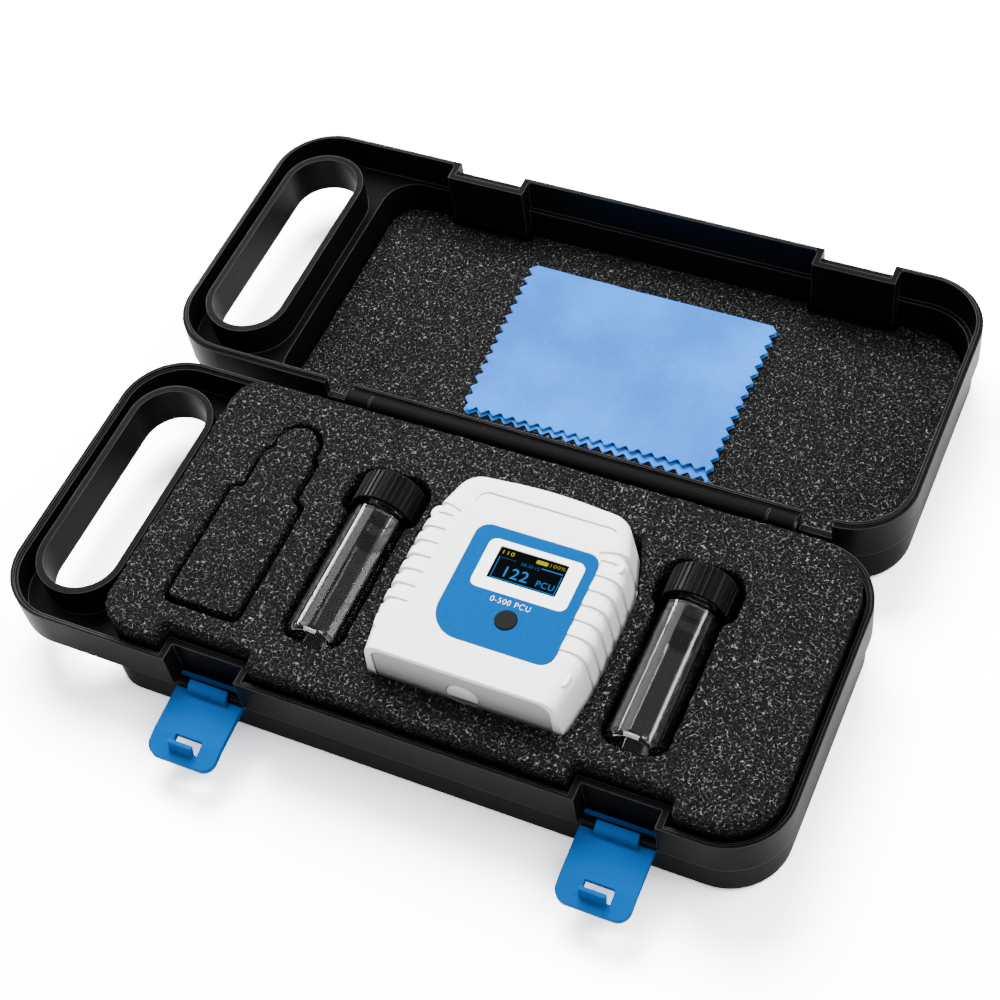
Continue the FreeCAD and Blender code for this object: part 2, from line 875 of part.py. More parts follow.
def make_meter_shells():
    """Front and back shell, end plate and the cover of the cuvette well."""
    inner_top = meter_top - shell_wall
    inner_bottom = meter_bottom + shell_wall
    front_shell = rounded_body(meter_seam, meter_top)
    front_shell = front_shell.makeFillet(meter_edge, rim_edges(front_shell, meter_top))
    front_shell = front_shell.cut(grip_grooves())
    bevel_start = inner_top - ceiling_bevel
    room = meter_body(-shell_wall, -shell_wall, meter_seam, bevel_start)
    ceiling = carved(meter_plan(draft_at(bevel_start) - shell_wall, -shell_wall, bevel_start),
                     meter_plan(draft_at(inner_top) - shell_wall - ceiling_bevel, -shell_wall,
                                inner_top))
    front_shell = front_shell.cut(room).cut(ceiling)
    back_shell = rounded_body(meter_bottom, meter_seam)
    back_shell = back_shell.makeChamfer(meter_bottom_edge, rim_edges(back_shell, meter_bottom))
    back_shell = back_shell.cut(meter_body(-shell_wall, -shell_wall, inner_bottom, meter_seam))
    recess = end_opening(0, plate_inset + plate_thickness)
    mouth = end_opening(-plate_ledge, shell_wall + plate_thickness + past)
    front_posts = []
    back_posts = []
    front_holes = []
    back_holes = []
    screw_hole = screw_radius + screw_clearance
    for x in (-board_post_x, board_post_x):
        for y in board_post_y:
            front_posts.append(rod(post_radius, meter_top - board_top, V(x, y, board_top), UP))
            front_holes.append(rod(screw_hole, board_screw_grip + screw_end_gap,
                                   V(x, y, board_top), UP))
    for x in (-shell_post_x, shell_post_x):
        for y in shell_post_y:
            front_posts.append(rod(shell_post_radius, meter_top - meter_seam,
                                   V(x, y, meter_seam), UP))
            front_holes.append(rod(screw_hole, shell_screw_grip + screw_end_gap,
                                   V(x, y, meter_seam), UP))
            back_posts.append(rod(shell_post_radius, meter_parting, V(x, y, meter_bottom), UP))
            through = rod(screw_hole, meter_parting, V(x, y, meter_bottom), UP)
            sink = rod(screw_head_radius + screw_end_gap, shell_screw_depth + screw_head,
                       V(x, y, meter_bottom), UP)
            back_holes.append(through.fuse(sink))
    within = shell_wall / 3
    front_form = meter_body(-within, -within, meter_seam, meter_top - within)
    back_form = meter_body(-within, -within, meter_bottom + within, meter_seam)
    for post in front_posts:
        front_shell = front_shell.fuse(post.common(front_form))
    for post in back_posts:
        back_shell = back_shell.fuse(post.common(back_form))
    front_shell = front_shell.cut(front_holes)
    back_shell = back_shell.cut(back_holes)
    entry = well_axis()
    opening_depth = cover_inset + cover_flange + plug_length
    opening = rod(cover_radius + cover_fit, opening_depth + past, entry - ACROSS * opening_depth,
                  ACROSS)
    plate_back = plate_inset + plate_thickness
    tongue_back = plate_back + tongue_gap + tongue_thickness
    moon_middle = meter_bottom + moon_height
    tongue = slab(-tongue_width / 2, tongue_width / 2, plate_back + tongue_gap, tongue_back,
                  moon_middle - moon_cut, meter_top - shell_wall / 2)
    half_moon = moon(moon_radius - moon_gap, plate_inset, tongue_back).common(
        slab(-moon_radius, moon_radius, 0, tongue_back + past, moon_middle - moon_cut, meter_top))
    tongue = tongue.fuse(half_moon)
    front_shell = front_shell.cut(recess).cut(mouth).cut(opening).fuse(tongue)
    back_shell = back_shell.cut(recess).cut(mouth).cut(opening)
    floor_z = meter_top - label_sink
    front_shell = front_shell.cut(label_outline(-label_fit, floor_z, meter_top + past))
    front_shell = front_shell.cut(centred(
        display_offset, display_middle, display_glass_width + 2 * glass_fit,
        display_glass_height + 2 * glass_fit, inner_top - past, meter_top))
    button_hole = rod(button_radius + button_clearance, shell_wall + 2 * past,
                      V(button_offset, button_middle, inner_top - past), UP)
    front_shell = front_shell.cut(button_hole)
    panel_near = meter_length - panel_far_gap - panel_height
    panel = slab(panel_offset - panel_width / 2, panel_offset + panel_width / 2, panel_near - past,
                 panel_near + panel_height, meter_top, meter_top + past,
                 (0.0, 0.0, panel_corner, panel_corner))
    panel.rotate(V(0, panel_near, meter_top), ALONG, -math.degrees(panel_depth / panel_height))
    front_shell = front_shell.cut(panel)
    save("meter_front_shell", in_meter_place(front_shell.removeSplitter()))
    save("meter_back_shell", in_meter_place(back_shell.removeSplitter()))
    plate = end_opening(-plate_fit, plate_thickness)
    plate.translate(ACROSS * plate_inset)
    plate = plate.cut(moon(moon_radius, 0, shell_wall + past))
    save("meter_end_plate", in_meter_place(plate))
    far_face = meter_length - cover_inset
    flange_face = far_face - cover_flange
    flange = rod(cover_radius, cover_flange, V(0, flange_face, entry.z), ACROSS)
    plug = rod(well_radius - plug_gap, plug_length, V(0, flange_face - plug_length, entry.z), ACROSS)
    grip_bar = slab(-grip_bar_length / 2, grip_bar_length / 2, far_face - cover_flange / 2,
                    far_face + grip_bar_height, entry.z - grip_bar_width / 2,
                    entry.z + grip_bar_width / 2)
    save("cuvette_cover", in_meter_place(joined([flange, plug, grip_bar])))


def make_meter_face():
    """Label, window frame, display, its board, the button and the switch under it."""
    floor_z = meter_top - label_sink
    face_z = floor_z + label_thickness
    label = label_outline(0, floor_z, face_z)
    frame_hole = centred(frame_offset, frame_middle, frame_width + 2 * label_fit,
                         frame_height + 2 * label_fit, floor_z - past, face_z + past,
                         frame_corner)
    label = label.cut(frame_hole)
    label = label.cut(rod(button_radius + button_clearance, shell_wall,
                          V(button_offset, button_middle, floor_z - past), UP))
    save("label_plate", in_meter_place(label))
    frame = centred(frame_offset, frame_middle, frame_width, frame_height, floor_z, face_z,
                    frame_corner)
    frame = frame.cut(centred(display_offset, display_middle, display_width, display_height,
                              floor_z - past, face_z + past, display_corner))
    save("window_frame", in_meter_place(frame))
    glass_top = floor_z
    glass_bottom = glass_top - display_glass_thickness
    save("display_glass", in_meter_place(centred(
        display_offset, display_middle, display_glass_width, display_glass_height, glass_bottom,
        glass_top, display_glass_corner)))
    display_board_top = min(glass_bottom, meter_top - shell_wall)
    save("display_board", in_meter_place(centred(
        display_offset, display_middle, display_board_side, display_board_side,
        display_board_top - display_board_thickness, display_board_top)))
    inner_top = meter_top - shell_wall
    flange_top = inner_top - button_seat_gap
    flange_bottom = flange_top - button_flange_thickness
    place = V(button_offset, button_middle, 0)
    cap = rod(button_radius, face_z + button_stand - flange_bottom, place + UP * flange_bottom, UP)
    cap = cap.makeChamfer(button_edge, edges_at_height(cap, face_z + button_stand))
    flange = rod(button_radius + button_flange, button_flange_thickness,
                 place + UP * flange_bottom, UP)
    switch_top = board_top + switch_height
    nub_top = switch_top + switch_nub_height
    stem_bottom = nub_top + button_travel + switch_nub_gap
    stem = rod(button_stem_radius, flange_bottom - stem_bottom, place + UP * stem_bottom, UP)
    save("power_button", in_meter_place(joined([cap, flange, stem])))
    switch = centred(button_offset, button_middle, switch_side, switch_side, board_top, switch_top)
    nub = rod(switch_nub_radius, switch_nub_height, place + UP * switch_top, UP)
    save("button_switch", in_meter_place(joined([switch, nub])))
    pins = []
    for i in range(pin_count):
        pin_x = display_offset + pin_pitch * (i - (pin_count - 1) / 2)
        pin_y = display_middle + display_board_side / 2 - pin_inset
        pins.append(centred(pin_x, pin_y, pin_side, pin_side, board_top,
                            display_board_top - display_board_thickness))
    save("display_pins", [in_meter_place(pin) for pin in pins])


# Electronics and optics


def make_meter_inside():
    """Main board with its parts, cuvette well with lamp, filter, lens and detector, and cells."""
    board = slab(-board_width / 2, board_width / 2, board_start, board_start + board_length,
                 board_low, board_top, board_corner)
    screws = []
    for x in (-board_post_x, board_post_x):
        for y in board_post_y:
            board = board.cut(rod(screw_radius + screw_clearance, board_thickness,
                                  V(x, y, board_low), UP))
            head = rod(screw_head_radius, screw_head, V(x, y, board_low - screw_head), UP)
            shank = rod(screw_radius, board_thickness + board_screw_grip, V(x, y, board_low), UP)
            screws.append(in_meter_place(joined([head, shank])))
    save("main_board", in_meter_place(board))
    save("board_screws", screws)
    on_board = []
    for x, y, width, length, height in chips:
        on_board.append(centred(x, y, width, length, board_top, board_top + height))
    on_board.append(rod(capacitor_radius, capacitor_height, V(*capacitor_place, board_top), UP))
    save("board_parts", [in_meter_place(piece) for piece in on_board])

    axis = well_axis()
    well_far = meter_length - cover_inset - cover_flange - seal_thickness
    outer = well_radius + well_wall
    well = slab(-outer, outer, well_far - well_depth - well_floor, well_far,
                well_low, well_high, well_corner)
    wall_inside = -shell_wall - well_clearance
    room = meter_body(wall_inside, wall_inside, well_low, meter_seam)
    room = room.fuse(meter_body(wall_inside, wall_inside, meter_seam, board_low))
    well = well.common(room)
    beam_y = meter_length - beam_from_far_end
    reach = outer + beam_boss_length
    for side in (-1, 1):
        boss = rod(beam_boss_radius, reach - well_radius, V(side * well_radius, beam_y, axis.z),
                   ALONG * side)
        well = well.fuse(boss)
    well = well.cut(rod(well_radius, well_depth + past, V(0, well_far - well_depth, axis.z), ACROSS))
    well = well.cut(rod(beam_radius + beam_fit, 2 * reach, V(-reach, beam_y, axis.z), ALONG))
    save("cuvette_well", in_meter_place(well.removeSplitter()))
    seal = rod(cover_radius, seal_thickness, V(0, well_far, axis.z), ACROSS)
    seal = seal.cut(rod(well_radius, seal_thickness, V(0, well_far, axis.z), ACROSS))
    save("cuvette_seal", in_meter_place(seal))

    lamp = rod(beam_radius, lamp_length, V(-reach, beam_y, axis.z), ALONG)
    lamp_dome = Part.makeCone(beam_radius, beam_radius / 2, beam_radius,
                              V(-reach + lamp_length, beam_y, axis.z), ALONG)
    rim = rod(lamp_rim_radius, lamp_rim, V(-reach - lamp_rim, beam_y, axis.z), ALONG)
    save("lamp", in_meter_place(joined([lamp, lamp_dome, rim])))
    lens_x = well_radius + lens_setback
    lens_ball = Part.makeSphere(lens_curve, V(lens_x + lens_thickness - lens_curve, beam_y, axis.z))
    lens = rod(beam_radius, lens_thickness, V(lens_x, beam_y, axis.z), ALONG).common(lens_ball)
    save("focusing_lens", in_meter_place(lens))
    filter_x = lens_x + lens_thickness + beam_gap
    colour_filter = rod(beam_radius, filter_thickness, V(filter_x, beam_y, axis.z), ALONG)
    save("colour_filter", in_meter_place(colour_filter))
    detector_x = filter_x + filter_thickness + beam_gap
    detector = rod(beam_radius, reach - detector_x, V(detector_x, beam_y, axis.z), ALONG)
    save("photodiode", in_meter_place(detector))
    carriers = []
    for start in (-reach - lamp_rim - carrier_thickness, reach):
        carriers.append(in_meter_place(slab(
            start, start + carrier_thickness, beam_y - carrier_width / 2,
            beam_y + carrier_width / 2, axis.z - carrier_height / 2, axis.z + carrier_height / 2)))
    save("lamp_and_detector_boards", carriers)

    cell_y = plate_inset + plate_thickness + cell_setback + cell_radius
    tray_low = meter_bottom + shell_wall
    cell_low = tray_low + holder_wall + cell_clearance + cell_radius
    cell_high = cell_low + 2 * cell_radius + cell_gap
    cells = []
    for z, side in ((cell_low, 1), (cell_high, -1)):
        barrel = cell_length - cell_nub_length
        body = rod(cell_radius, barrel, V(-cell_length / 2 * side, cell_y, z), ALONG * side)
        nub_start = (cell_length / 2 - cell_nub_length) * side
        nub = rod(cell_nub_radius, cell_nub_length, V(nub_start, cell_y, z),
                  ALONG * side)
        cells.append(in_meter_place(joined([body, nub])))
    save("battery_cells", cells)
    inside_half = cell_length / 2 + cell_end_room
    tray_high = cell_high + cell_radius + cell_clearance + holder_wall
    tray_y0 = cell_y - cell_radius
    tray_y1 = cell_y + cell_radius + cell_clearance + holder_wall
    holder = slab(-inside_half - holder_wall, inside_half + holder_wall, tray_y0, tray_y1, tray_low,
                  tray_high)
    holder = holder.cut(slab(-inside_half, inside_half, tray_y0, tray_y1 - holder_wall,
                             tray_low + holder_wall, tray_high - holder_wall))
    save("battery_holder", in_meter_place(holder))
    contacts = []
    tip = cell_length / 2 + contact_gap
    reach = inside_half - contact_thickness - tip
    for z, side in ((cell_low, 1), (cell_high, -1)):
        for end in (-1, 1):
            start = inside_half - contact_thickness if end > 0 else -inside_half
            contacts.append(slab(start, start + contact_thickness, cell_y - contact_side / 2,
                                 cell_y + contact_side / 2, z - contact_side / 2,
                                 z + contact_side / 2))
        contacts.append(rod(contact_button_radius, reach, V(side * tip, cell_y, z), ALONG * side))
        contacts.append(Part.makeCone(spring_root_radius, spring_tip_radius, reach,
                                      V(-side * (tip + reach), cell_y, z), ALONG * side))
    save("battery_contacts", [in_meter_place(contact) for contact in contacts])

    shell_screws = []
    for x in (-shell_post_x, shell_post_x):
        for y in shell_post_y:
            seat_z = meter_bottom + shell_screw_depth + screw_head
            head = rod(screw_head_radius, screw_head, V(x, y, seat_z - screw_head), UP)
            shank = rod(screw_radius, meter_seam + shell_screw_grip - seat_z, V(x, y, seat_z), UP)
            shell_screws.append(in_meter_place(joined([head, shank])))
    save("shell_screws", shell_screws)


# Sample vials


def turned(points, x, y, z):
    """A solid of revolution: points are (radius, distance along +Y from y)."""
    wire = Part.makePolygon([V(x + r, y + d, z) for r, d in points + points[:1]])
    return Part.Face(wire).revolve(V(x, y, z), ACROSS, 360)


def make_vial(number, place):
    """Glass tube with neck and thread rings, ribbed screw cap and its sealing liner."""
    x = along_case(place)
    y = front + vial_front
    z = vial_axis_height()
    glass_end = vial_length - cap_top - liner_thickness
    neck_start = glass_end - neck_length
    shoulder_start = neck_start - shoulder_length
    bore = neck_radius - vial_wall - bore_step
    inside = vial_radius - vial_wall
    glass = turned([
        (0, foot_rise),
        (vial_radius - foot_ring, foot_rise),
        (vial_radius - vial_foot, 0),
        (vial_radius, vial_foot),
        (vial_radius, shoulder_start),
        (neck_radius, neck_start),
        (neck_radius, glass_end),
        (bore, glass_end),
        (bore, neck_start - shoulder_skin),
        (inside, shoulder_start - shoulder_skin),
        (inside, vial_base + vial_foot),
        (inside - vial_foot, vial_base),
        (0, vial_base),
    ], x, y, z)
    for i in range(thread_count):
        d = glass_end - thread_from_mouth - i * thread_pitch
        ring = turned([(neck_radius - thread_root, d - thread_half_width), (thread_radius, d),
                       (neck_radius - thread_root, d + thread_half_width)], x, y, z)
        glass = glass.fuse(ring)
    save("vial_%d_glass" % number, glass.removeSplitter())
    cap_start = vial_length - cap_length
    corners = []
    for i in range(cap_rib_count):
        for part, radius in ((0.0, cap_radius), (rib_land, cap_radius),
                             (rib_valley, cap_radius - cap_rib_depth)):
            angle = 2 * math.pi * (i + part) / cap_rib_count
            corners.append(V(x + radius * math.cos(angle), y + cap_start, z + radius * math.sin(angle)))
    ribbed = Part.Face(Part.makePolygon(corners + corners[:1])).extrude(ACROSS * cap_length)
    envelope = turned([(0, cap_start), (cap_radius + past, cap_start),
                       (cap_radius + past, vial_length - cap_edge - past),
                       (cap_radius - cap_edge, vial_length), (0, vial_length)], x, y, z)
    cap = ribbed.common(envelope)
    cap_inside = thread_radius + cap_bore_clearance
    cap = cap.cut(rod(cap_inside, cap_length - cap_top, V(x, y + cap_start, z), ACROSS))
    mouth = vial_radius + cap_mouth_room
    cap = cap.cut(rod(mouth, cap_mouth_depth, V(x, y + cap_start, z), ACROSS))
    save("vial_%d_cap" % number, cap)
    liner = rod(thread_radius - liner_fit, liner_thickness, V(x, y + glass_end, z), ACROSS)
    save("vial_%d_liner" % number, liner)


os.makedirs("parts", exist_ok=True)
make_case()
for latch_name, latch_place in zip(("latch_left", "latch_right"), latch_shares):
    make_latch(latch_name, latch_place)
make_foam()
make_meter_shells()
make_meter_face()
make_meter_inside()
for vial_number, vial_place in enumerate(vial_shares, 1):
    make_vial(vial_number, vial_place)
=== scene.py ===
"""A water colour meter in its open carrying case, dressed for the camera on a white table."""
import math

import bmesh
import bpy
from mathutils import Matrix, Vector, noise


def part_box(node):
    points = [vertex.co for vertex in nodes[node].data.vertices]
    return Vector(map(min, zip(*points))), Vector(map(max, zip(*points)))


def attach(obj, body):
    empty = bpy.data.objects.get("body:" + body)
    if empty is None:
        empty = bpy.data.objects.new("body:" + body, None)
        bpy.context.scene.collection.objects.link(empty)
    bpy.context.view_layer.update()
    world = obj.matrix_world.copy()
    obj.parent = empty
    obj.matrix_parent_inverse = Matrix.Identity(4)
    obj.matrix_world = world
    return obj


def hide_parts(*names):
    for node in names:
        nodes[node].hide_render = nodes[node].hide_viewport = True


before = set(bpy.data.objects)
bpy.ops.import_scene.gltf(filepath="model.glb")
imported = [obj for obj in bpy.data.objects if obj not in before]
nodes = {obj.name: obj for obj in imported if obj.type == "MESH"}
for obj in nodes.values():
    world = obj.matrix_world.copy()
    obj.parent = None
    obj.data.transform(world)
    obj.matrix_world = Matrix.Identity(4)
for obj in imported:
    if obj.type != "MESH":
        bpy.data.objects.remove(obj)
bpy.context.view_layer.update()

# The white studio: a table that sweeps up behind, two broad soft lamps, and the camera where the
# photographer stood. A sheet and three strips of light show only as reflections in glass and rims.
# The table and the room are whiter to the camera than to the light that falls on the object.
MM = 0.001
sweep_start = 1.6
sweep_radius = 0.8
sweep_steps = 24
table_half_width = 4.0
table_near_end = -3.0
backdrop_height = 3.0
white_for_light = 0.8
white_for_camera = 3.4
room_in_mirrors = 0.3
room_on_matt_faces = 0.9
room_more_for_camera = 14.0
camera_place = (0.22384, -0.29475, 0.56779)
photo_right = Vector((0.907928, 0.403265, -0.114214)).normalized()
photo_down = Vector((0.267324, -0.767053, -0.583239)).normalized()


def placed(name, data):
    """Puts a mesh, a lamp or a camera into the scene."""
    shown = bpy.data.objects.new(name, data)
    bpy.context.collection.objects.link(shown)
    return shown


def new_material(name):
    """A material, the node tree that feeds it, and its Principled shader."""
    material = bpy.data.materials.new(name)
    material.use_nodes = True
    return material, material.node_tree, material.node_tree.nodes["Principled BSDF"]


def link(tree, source, output, target, entry):
    """Joins an output of one node to an input of another."""
    tree.links.new(source.outputs[output], target.inputs[entry])


profile = [(table_near_end, 0.0)]
for step in range(sweep_steps + 1):
    angle = math.pi / 2 * step / sweep_steps
    profile.append((sweep_start + sweep_radius * math.sin(angle),
                    sweep_radius - sweep_radius * math.cos(angle)))
profile.append((sweep_start + sweep_radius, backdrop_height))
table_form = bmesh.new()
rows = [[table_form.verts.new((x, y, z)) for x in (-table_half_width, table_half_width)]
        for y, z in profile]
for near, far in zip(rows, rows[1:]):
    table_form.faces.new((near[0], near[1], far[1], far[0])).smooth = True
table_mesh = bpy.data.meshes.new("table_sweep")
table_form.to_mesh(table_mesh)
table = placed("table_sweep", table_mesh)
table.location.z = -0.2 * MM
table_paint, tree, shader = new_material("white_table")
shader.inputs["Roughness"].default_value = 0.9
shader.inputs["Specular IOR Level"].default_value = 0.0
table_rays = tree.nodes.new("ShaderNodeLightPath")
whiteness = tree.nodes.new("ShaderNodeMix")
whiteness.data_type = "RGBA"
for entry, white in (("A", white_for_light), ("B", white_for_camera)):
    whiteness.inputs[entry].default_value = (white, white, white, 1)
link(tree, table_rays, "Is Camera Ray", whiteness, "Factor")
link(tree, whiteness, "Result", shader, "Base Color")
table_mesh.materials.append(table_paint)

world = bpy.data.worlds.new("white_room")
bpy.context.scene.world = world
world.use_nodes = True
room = world.node_tree
background = room.nodes["Background"]
background.inputs["Color"].default_value = (1.0, 1.0, 1.0, 1)
room_rays = room.nodes.new("ShaderNodeLightPath")
room_light = room.nodes.new("ShaderNodeMapRange")
room_light.inputs["To Min"].default_value = room_in_mirrors
room_light.inputs["To Max"].default_value = room_on_matt_faces
link(room, room_rays, "Is Diffuse Ray", room_light, "Value")
room_seen = room.nodes.new("ShaderNodeMath")
room_seen.operation = "MULTIPLY_ADD"
room_seen.inputs[1].default_value = room_more_for_camera
link(room, room_rays, "Is Camera Ray", room_seen, 0)
link(room, room_light, "Result", room_seen, 2)
link(room, room_seen, "Value", background, "Strength")

for name, place, target, width, height, power, mirrored in (
        ("key_lamp", (-0.35, 0.7, 1.15), (0.0, 0.05, 0.0), 0.9, 0.7, 84.0, False),
        ("fill_lamp", (0.8, 0.3, 1.1), (0.0, 0.05, 0.0), 0.8, 0.8, 17.0, False),
        ("left_sheet", (-0.52, 0.36, 0.74), (0.0, 0.36, 0.0), 1.2, 0.5, 3.2, True),
        ("left_strip", (-0.79, 0.36, 0.42), (0.0, 0.36, 0.0), 1.2, 0.15, 22.0, True),
        ("right_strip", (0.79, 0.36, 0.44), (0.0, 0.36, 0.0), 1.2, 0.14, 5.5, True),
        ("front_strip", (0.1, -0.9, 0.5), (0.0, 0.0, 0.0), 1.4, 0.16, 9.0, True)):
    lamp = bpy.data.lights.new(name, "AREA")
    lamp.shape = "RECTANGLE"
    lamp.size = width
    lamp.size_y = height
    lamp.energy = power
    stand = placed(name, lamp)
    stand.location = place
    stand.visible_diffuse = not mirrored
    stand.visible_glossy = mirrored
    stand.visible_transmission = mirrored
    stand.rotation_mode = "QUATERNION"
    stand.rotation_quaternion = (Vector(target) - Vector(place)).to_track_quat("-Z", "Y")

camera_data = bpy.data.cameras.new("photo_camera")
camera_data.sensor_width = 36.0
camera_data.lens = 72.39
camera = placed("photo_camera", camera_data)
bpy.context.scene.camera = camera
turn = Matrix((photo_right, -photo_down, -photo_right.cross(photo_down))).transposed()
camera.matrix_world = Matrix.Translation(camera_place) @ turn.to_4x4()

# Carrying case: two halves moulded in black polypropylene, with a fine spark-eroded texture and
# rims that hands have rubbed to a satin; their paler edges are partly that wear and partly a
# painted highlight. The hinge pin is a steel wire and the axles are moulded.


def grey(value):
    """A neutral colour."""
    return (value, value, value)


def noise_at(tree, coordinates, scale, detail=2.0, rough=0.5):
    """A noise texture on the piece's own coordinates."""
    texture = tree.nodes.new("ShaderNodeTexNoise")
    texture.inputs["Scale"].default_value = scale
    texture.inputs["Detail"].default_value = detail
    texture.inputs["Roughness"].default_value = rough
    link(tree, coordinates, "Object", texture, "Vector")
    return texture


def product_of(tree, first, first_output, second, second_output):
    """One value times another."""
    product = tree.nodes.new("ShaderNodeMath")
    product.operation = "MULTIPLY"
    link(tree, first, first_output, product, 0)
    link(tree, second, second_output, product, 1)
    return product


def vary_roughness(tree, shader, source, output, smoothest, roughest):
    """Roughness that follows a value between two limits."""
    rough = tree.nodes.new("ShaderNodeMapRange")
    rough.inputs["To Min"].default_value = smoothest
    rough.inputs["To Max"].default_value = roughest
    link(tree, source, output, rough, "Value")
    link(tree, rough, "Result", shader, "Roughness")


def add_relief(tree, shader, source, output, strength, distance):
    """Fine relief that follows a value."""
    relief = tree.nodes.new("ShaderNodeBump")
    relief.inputs["Strength"].default_value = strength
    relief.inputs["Distance"].default_value = distance
    link(tree, source, output, relief, "Height")
    link(tree, relief, "Normal", shader, "Normal")
    return relief


moulded = bpy.data.node_groups.new("moulded_surface", "ShaderNodeTree")
for socket, value in (("Grain Scale", 2500.0), ("Edge Radius", 0.0006)):
    moulded.interface.new_socket(
        socket, in_out="INPUT", socket_type="NodeSocketFloat").default_value = value
for socket, kind in (("Grain", "NodeSocketFloat"), ("Rubbed Edge And Highlight", "NodeSocketFloat"),
                     ("Patches", "NodeSocketFloat"), ("Soft Normal", "NodeSocketVector")):
    moulded.interface.new_socket(socket, in_out="OUTPUT", socket_type=kind)
entry = moulded.nodes.new("NodeGroupInput")
result = moulded.nodes.new("NodeGroupOutput")
places = moulded.nodes.new("ShaderNodeTexCoord")
grain = noise_at(moulded, places, 2500.0, 3.0, 0.6)
link(moulded, entry, "Grain Scale", grain, "Scale")
patches = noise_at(moulded, places, 45.0, 5.0, 0.6)
soft = moulded.nodes.new("ShaderNodeBevel")
soft.samples = 6
link(moulded, entry, "Edge Radius", soft, "Radius")
facing = moulded.nodes.new("ShaderNodeNewGeometry")
agree = moulded.nodes.new("ShaderNodeVectorMath")
agree.operation = "DOT_PRODUCT"
link(moulded, soft, "Normal", agree, 0)
link(moulded, facing, "Normal", agree, 1)
# Where the bevel bends the normal on a rounded edge, and where the patches allow, the paler edge
# colour goes on: rubbed wear and a painted highlight together.
edge_mask = moulded.nodes.new("ShaderNodeMapRange")
edge_mask.inputs["From Min"].default_value = 0.995
edge_mask.inputs["From Max"].default_value = 0.75
link(moulded, agree, "Value", edge_mask, "Value")
rubbed_and_highlit = product_of(moulded, edge_mask, "Result", patches, "Fac")
link(moulded, grain, "Fac", result, "Grain")
link(moulded, rubbed_and_highlit, "Value", result, "Rubbed Edge And Highlight")
link(moulded, patches, "Fac", result, "Patches")
link(moulded, soft, "Normal", result, "Soft Normal")


def moulded_plastic(name, colour, worn_and_highlight, roughness, grain_scale, bump, edge_radius, gloss=0.5):
    """A moulded plastic or rubber: its colour, the paler colour of its edges, partly rubbed wear
    and partly a painted highlight, and its grain.
    """
    material, tree, shader = new_material(name)
    shader.inputs["Specular IOR Level"].default_value = gloss
    surface = tree.nodes.new("ShaderNodeGroup")
    surface.node_tree = moulded
    surface.inputs["Grain Scale"].default_value = grain_scale
    surface.inputs["Edge Radius"].default_value = edge_radius
    colours = tree.nodes.new("ShaderNodeMix")
    colours.data_type = "RGBA"
    colours.inputs["A"].default_value = (*colour, 1)
    colours.inputs["B"].default_value = (*worn_and_highlight, 1)
    link(tree, surface, "Rubbed Edge And Highlight", colours, "Factor")
    link(tree, colours, "Result", shader, "Base Color")
    vary_roughness(tree, shader, surface, "Patches", roughness - 0.07, roughness + 0.07)
    relief = add_relief(tree, shader, surface, "Grain", bump, 0.08 * MM)
    link(tree, surface, "Soft Normal", relief, "Normal")
    return material


def metal(name, colour, roughness, scale):
    """Bare metal with a fine drawn grain."""
    material, tree, shader = new_material(name)
    shader.inputs["Base Color"].default_value = (*colour, 1)
    shader.inputs["Metallic"].default_value = 1.0
    places = tree.nodes.new("ShaderNodeTexCoord")
    drawn = noise_at(tree, places, scale, 4.0, 0.7)
    vary_roughness(tree, shader, drawn, "Fac", roughness - 0.1, roughness + 0.15)
    return material


def dress(material, *names):
    """Gives CAD nodes one material each."""
    for name in names:
        mesh = nodes[name].data
        mesh.materials.clear()
        mesh.materials.append(material)


# The grey on the case's edges is a painted highlight along the rims as well as rubbed wear.
case_plastic = moulded_plastic(
    "black_case_plastic", colour=grey(0.0036), worn_and_highlight=grey(0.14), roughness=0.34,
    grain_scale=2200.0, bump=0.4, edge_radius=0.0005, gloss=0.032)
dress(case_plastic, "case_base", "case_lid", "latch_axles")
steel = metal("zinc_steel", (0.55, 0.56, 0.58), roughness=0.35, scale=900.0)
dress(steel, "hinge_pin", "shell_screws", "board_screws", "battery_cells")

# Latches: blue acetal clips that snap over a black axle at the case's front. The plate has a
# crease, a slot and a raised hook that catches the lid's bar.
# The paler blue along the plate's edges is partly rubbed wear and partly a painted highlight.
latch_plastic = moulded_plastic(
    "blue_latch_plastic", colour=(0.0, 0.052, 0.2), worn_and_highlight=(0.0, 0.1, 0.36), roughness=0.35,
    grain_scale=1500.0, bump=0.12, edge_radius=0.0005, gloss=0.02)
dress(latch_plastic, "latch_left", "latch_right")

# Foam: charcoal open-cell foam cut to the tools, glued into both halves. The cut face shows torn
# cell walls as pale curls, partly painted glints on the strands, over dark pits with painted shade
# where the relief sinks. Deeper below the top face the curls fade out, a painted shade in the
# pockets and down the sides, and every cut edge is a little rounded.


def ramp_of(tree, source, output, stops):
    """A colour ramp: stops are (place, colour)."""
    ramp = tree.nodes.new("ShaderNodeValToRGB")
    elements = ramp.color_ramp.elements
    while len(elements) < len(stops):
        elements.new(0.5)
    for element, (place, colour) in zip(elements, stops):
        element.position = place
        element.color = (*colour, 1)
    link(tree, source, output, ramp, "Fac")
    return ramp


